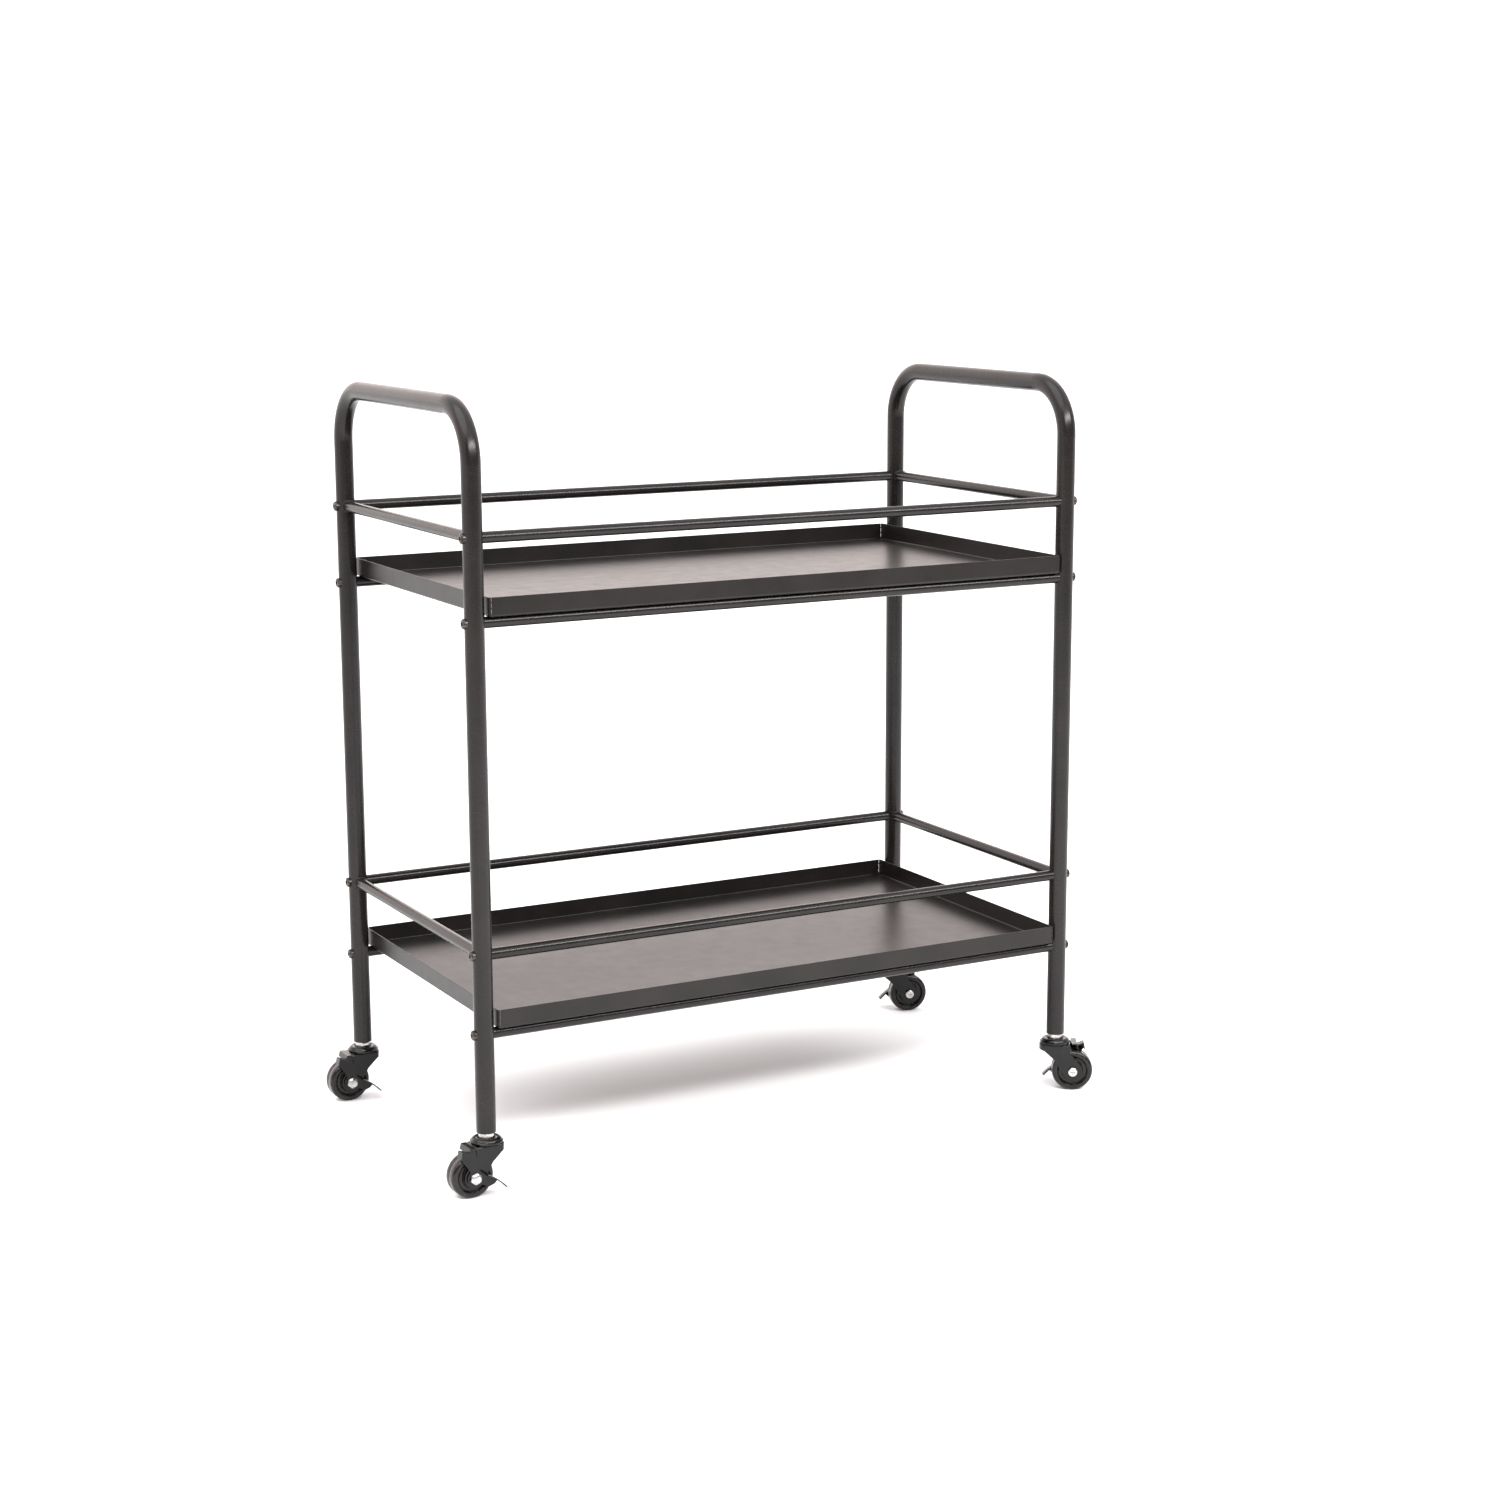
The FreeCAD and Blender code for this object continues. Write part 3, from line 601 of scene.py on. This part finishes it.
@dataclass
class CapNut:
    """Hexagonal nut with chamfered corners and a closed domed end."""

    flats: float = 12.2 * MM
    chamfer_radius: float = 6.1 * MM
    chamfer_height: float = 1.0 * MM
    dome_radius: float = 5.6 * MM
    dome_base: float = 3.5 * MM
    dome_top: float = 5.2 * MM
    dome_shares: tuple[float, ...] = (0.97, 0.9, 0.78, 0.6, 0.4, 0.2, 0.05)
    break_edge: float = 0.25 * MM
    seat_edge: float = 0.3 * MM
    dome_step: float = 0.1 * MM
    turn: float = math.radians(40)
    steps: int = 96

    def _hexagon_radius(self, angle: float) -> float:
        """Distance from the axle to the hexagon's side at an angle."""
        within = (angle - self.turn) % (math.pi / 3) - math.pi / 6
        return self.flats / 2 / math.cos(within)

    def build(self, corner: "Corner", seat: Vector, axle: Vector, material: bpy.types.Material) -> None:
        """Build the nut in place of the frame's plain one.

        Args:
            corner: The leg whose caster it holds.
            seat: Centre of the face that it is tightened on.
            axle: Direction from that face to the domed end.
            material: Its finish.
        """
        level = axle.cross(Vector((0, 0, 1)))
        shape = Shape()
        angles = [2 * math.pi * step / self.steps for step in range(self.steps)]
        spokes = [level * math.cos(a) + Vector((0, 0, math.sin(a))) for a in angles]
        hexagon = [self._hexagon_radius(a) for a in angles]
        chamfered = [min(r, self.chamfer_radius + self.break_edge) for r in hexagon]
        low_side = self.dome_base - self.chamfer_height
        rows = [
            (chamfered, 0.0),
            (hexagon, self.seat_edge),
            (hexagon, low_side),
            (chamfered, self.dome_base - self.break_edge),
            ([self.chamfer_radius - self.seat_edge] * self.steps, self.dome_base),
            ([self.dome_radius] * self.steps, self.dome_base + self.dome_step),
        ]
        rise = self.dome_top - self.dome_base
        for share in self.dome_shares:
            height = self.dome_base + rise * math.sqrt(1 - share**2)
            rows.append(([self.dome_radius * share] * self.steps, height))
        loops = []
        for radii, height in rows:
            ring = [seat + spoke * r + axle * height for spoke, r in zip(spokes, radii)]
            loops.append(shape.loop(ring))
        for here, there in zip(loops, loops[1:]):
            shape.bridge(here, there)
        shape.mesh.faces.new(loops[0])
        shape.mesh.faces.new(loops[-1])
        name = corner.value
        made = shape.piece(f"{name}_cap_nut", material, f"{name}_caster")
        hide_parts(f"{name}_axle_nut")
        LOG.info("%s: %d faces", made.name, len(made.data.polygons))


@dataclass
class WeldBead:
    """Rippled fillet weld round a rail that butts against a round leg."""

    rail_radius: float = 6.35 * MM
    leg_radius: float = 11.0 * MM
    bead_radius: float = 1.35 * MM
    ripples: int = 26
    ripple_height: float = 0.10
    unevenness: float = 0.05
    steps: int = 104
    section: int = 10

    def add_to(self, shape: Shape, leg: Vector, direction: float) -> None:
        """Add the bead to a mesh.

        Args:
            shape: The mesh.
            leg: Point on the leg's axis at the rail's height.
            direction: +1 or -1, the way along Y in which the rail leaves the leg.
        """
        loops = []
        for step in range(self.steps):
            turn = 2 * math.pi * step / self.steps
            across = Vector((math.cos(turn), 0, math.sin(turn)))
            reach = math.sqrt(self.leg_radius**2 - (self.rail_radius * across.x) ** 2)
            toe = leg + across * self.rail_radius + Vector((0, direction * reach, 0))
            away = Vector((0, direction, 0))
            ripple = self.ripple_height * abs(math.sin(self.ripples * turn / 2))
            uneven = self.unevenness * math.sin(3 * turn + leg.x)
            radius = self.bead_radius * (1 + ripple + uneven)
            points = []
            for corner in range(self.section):
                angle = 2 * math.pi * corner / self.section
                points.append(toe + (across * math.cos(angle) + away * math.sin(angle)) * radius)
            loops.append(shape.loop(points))
        for here, there in zip(loops, loops[1:] + loops[:1]):
            shape.bridge(here, there)


@dataclass
class EndFrame:
    """Bent tube with two legs and a handle bar, and its two welded cross rails."""

    end: End
    leg_x: float = 380 * MM
    leg_y: float = 193 * MM
    cross_heights: tuple[float, float] = (728 * MM, 272 * MM)
    weld: WeldBead = field(default_factory=WeldBead)

    def build(self, finishes: Finishes) -> None:
        """Dress the tubes and weld the cross rails to the legs."""
        side = self.end.value
        for node in (f"{side}_end_frame", f"{side}_upper_cross_rail", f"{side}_lower_cross_rail"):
            finishes.dress(node, Slot.FRAME)
        x = -self.leg_x if self.end is End.LEFT else self.leg_x
        beads = Shape()
        for height in self.cross_heights:
            for face in (-1, 1):
                self.weld.add_to(beads, Vector((x, face * self.leg_y, height)), -face)
        made = beads.piece(f"{side}_weld_beads", finishes.materials[Slot.FRAME], "cart")
        LOG.info("%s: %d faces", made.name, len(made.data.polygons))


@dataclass
class LongRails:
    """The eight rails bolted along the cart."""

    levels: tuple[str, ...] = ("upper_gallery", "upper_tray", "lower_gallery", "lower_tray")

    def build(self, finishes: Finishes) -> None:
        """Dress the rails."""
        for side in ("front", "rear"):
            for level in self.levels:
                finishes.dress(f"{side}_{level}_rail", Slot.FRAME)
        LOG.info("long rails dressed")


@dataclass
class Tray:
    """Folded sheet tray."""

    level: str

    def build(self, finishes: Finishes) -> None:
        """Dress the tray."""
        finishes.dress(f"{self.level}_tray", Slot.TRAY)
        LOG.info("%s tray dressed", self.level)


@dataclass
class Fasteners:
    """Bolts and the plugs that they screw into."""

    def build(self, finishes: Finishes) -> None:
        """Dress the fasteners."""
        finishes.dress("frame_bolts", Slot.BOLT)
        finishes.dress("rail_end_inserts", Slot.ZINC)
        finishes.dress("leg_inserts", Slot.ZINC)
        LOG.info("fasteners dressed")


@dataclass
class Caster:
    """Braked swivel caster under one leg."""

    corner: Corner
    nut_seat: float = 15.6 * MM
    pressed: EdgeRounding = EdgeRounding(0.45 * MM)
    turned: EdgeRounding = EdgeRounding(0.35 * MM)

    def build(self, finishes: Finishes) -> None:
        """Dress the caster, round its edges and mould its wheel."""
        name = self.corner.value
        slots = {
            "caster_stem": Slot.ZINC,
            "top_race": Slot.CASTER,
            "race_balls": Slot.BALL,
            "fork": Slot.CASTER,
            "axle_bolt": Slot.ZINC,
            "axle_sleeve": Slot.ZINC,
            "brake_lever": Slot.CASTER,
        }
        for node, slot in slots.items():
            finishes.dress(f"{name}_{node}", slot)
        for node in ("fork", "brake_lever"):
            self.pressed.apply(f"{name}_{node}")
        self.turned.apply(f"{name}_caster_stem")
        low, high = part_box(f"{name}_wheel")
        middle = (low + high) / 2
        axle = self._axle()
        MouldedWheel().build(self.corner, middle, axle, finishes.materials[Slot.WHEEL])
        CapNut().build(self.corner, middle + axle * self.nut_seat, axle, finishes.materials[Slot.ZINC])
        LOG.info("%s caster finished", name)

    def _axle(self) -> Vector:
        """Direction of the brake lever's joint, which points along the axle to the nut."""
        joints = frame["record"]["behaviour"]["joints"]
        wanted = f"{self.corner.value}_brake_press"
        return Vector(next(joint["axis"] for joint in joints if joint["name"] == wanted)).normalized()


# ---- studio ----
@dataclass
class Studio:
    """Pale floor, soft light and the camera."""

    floor_reach: float = 40.0
    floor_front: float = -4.6
    backdrop: float = 1.02
    camera_place: tuple[float, float, float] = (-1.4762, -2.8326, 1.0544)
    yaw: float = math.radians(-28.43)
    pitch: float = math.radians(-11.06)
    roll: float = math.radians(-0.21)
    lens: float = 64.776

    def build(self) -> None:
        """Build the whole studio."""
        self._floor()
        self._world()
        self._lights()
        self._camera()
        scene = bpy.context.scene
        scene.view_settings.view_transform = "Standard"
        scene.view_settings.look = "None"
        LOG.info("studio built")

    def _floor(self) -> None:
        """Large flat floor at Z 0, which ends a little way in front of the cart."""
        shape = bmesh.new()
        reach = self.floor_reach
        corners = [(-reach, self.floor_front), (reach, self.floor_front), (reach, reach), (-reach, reach)]
        shape.faces.new([shape.verts.new((x, y, 0)) for x, y in corners])
        data = bpy.data.meshes.new("floor")
        shape.to_mesh(data)
        shape.free()
        data.materials.append(PaleFloor().build())
        floor = bpy.data.objects.new("floor", data)
        bpy.context.scene.collection.objects.link(floor)

    def _world(self) -> None:
        """Even white to look at, and a bright back and sides with a dark front to light the cart."""
        world = bpy.data.worlds.new("studio")
        bpy.context.scene.world = world
        world.use_nodes = True
        graph = Graph(world.node_tree)
        direction = graph.add("ShaderNodeTexCoord", output="Generated")
        x = graph.add("ShaderNodeSeparateXYZ", inputs={"Vector": direction}, output="X")
        y = graph.add("ShaderNodeSeparateXYZ", inputs={"Vector": direction}, output="Y")
        z = graph.add("ShaderNodeSeparateXYZ", inputs={"Vector": direction}, output="Z")
        side = graph.mix(graph.remap(x, 0.5, -0.6), (1.2, 1.18, 1.2), (1.7, 1.5, 1.45))
        back = graph.mix(graph.remap(y, 0.35, 0.8), side, (2.5, 2.25, 2.18))
        front = graph.mix(graph.remap(y, -0.1, -0.55), back, (0.16, 0.16, 0.17))
        above = graph.mix(graph.remap(z, 0.35, 0.8), front, (1.6, 1.58, 1.6))
        seen = graph.add("ShaderNodeLightPath", output="Is Camera Ray")
        plain = (self.backdrop, self.backdrop, self.backdrop)
        shown = graph.mix(seen, above, plain)
        background = graph.add("ShaderNodeBackground", inputs={"Color": shown, "Strength": 1.0})
        graph.add("ShaderNodeOutputWorld", inputs={"Surface": background})

    def _lights(self) -> None:
        """Wide overhead light from the left and a long narrow light high in front."""
        self._sun("overhead", (-0.42, -0.1, 0.88), 2.2, 60.0)
        self._panel("front_light", (0.3, -2.6, 2.2), (0, 0, 0.5), (4.4, 0.4), 170.0)

    @staticmethod
    def _sun(name: str, towards: tuple[float, float, float], strength: float, spread: float) -> None:
        """Light from one direction, softened over a wide angle.

        Args:
            name: The light's name.
            towards: Direction in which the light stands.
            strength: Irradiance in W/m2.
            spread: Angle that the light fills, in degrees.
        """
        data = bpy.data.lights.new(name, "SUN")
        data.energy = strength
        data.angle = math.radians(spread)
        light = bpy.data.objects.new(name, data)
        light.rotation_mode = "QUATERNION"
        light.rotation_quaternion = Vector(towards).to_track_quat("Z", "Y")
        bpy.context.scene.collection.objects.link(light)

    @staticmethod
    def _panel(
        name: str,
        place: tuple[float, float, float],
        target: tuple[float, float, float],
        size: tuple[float, float],
        power: float,
    ) -> None:
        """Rectangular soft light.

        Args:
            name: The light's name.
            place: Its centre.
            target: The point it faces.
            size: Width and height.
            power: Power in W.
        """
        data = bpy.data.lights.new(name, "AREA")
        data.shape = "RECTANGLE"
        data.size, data.size_y = size
        data.energy = power
        light = bpy.data.objects.new(name, data)
        light.location = place
        light.rotation_mode = "QUATERNION"
        light.rotation_quaternion = (Vector(place) - Vector(target)).to_track_quat("Z", "Y")
        light.visible_camera = False
        bpy.context.scene.collection.objects.link(light)

    def _camera(self) -> None:
        """Camera in front of the cart, to its left and a little above it."""
        data = bpy.data.cameras.new("camera")
        data.lens = self.lens
        data.sensor_width = 36.0
        data.clip_end = 200.0
        forward = Vector(
            (
                -math.sin(self.yaw) * math.cos(self.pitch),
                math.cos(self.yaw) * math.cos(self.pitch),
                math.sin(self.pitch),
            )
        )
        level = Vector((math.cos(self.yaw), math.sin(self.yaw), 0))
        upright = level.cross(forward)
        cos_roll, sin_roll = math.cos(self.roll), math.sin(self.roll)
        right = level * cos_roll + upright * sin_roll
        up = upright * cos_roll - level * sin_roll
        camera = bpy.data.objects.new("camera", data)
        camera.matrix_world = Matrix.Translation(self.camera_place) @ Matrix(
            (
                (right.x, up.x, -forward.x, 0),
                (right.y, up.y, -forward.y, 0),
                (right.z, up.z, -forward.z, 0),
                (0, 0, 0, 1),
            )
        )
        bpy.context.scene.collection.objects.link(camera)
        bpy.context.scene.camera = camera


def main() -> None:
    """Build the cart's finishes and pieces in order, then the studio."""
    logging.basicConfig(level=logging.INFO, format="%(name)s: %(message)s")
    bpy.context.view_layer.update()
    finishes = Finishes()
    finishes.build()
    for end in End:
        EndFrame(end).build(finishes)
    LongRails().build(finishes)
    for level in ("upper", "lower"):
        Tray(level).build(finishes)
    Fasteners().build(finishes)
    for corner in Corner:
        Caster(corner).build(finishes)
    Studio().build()


if __name__ == "__main__":
    main()
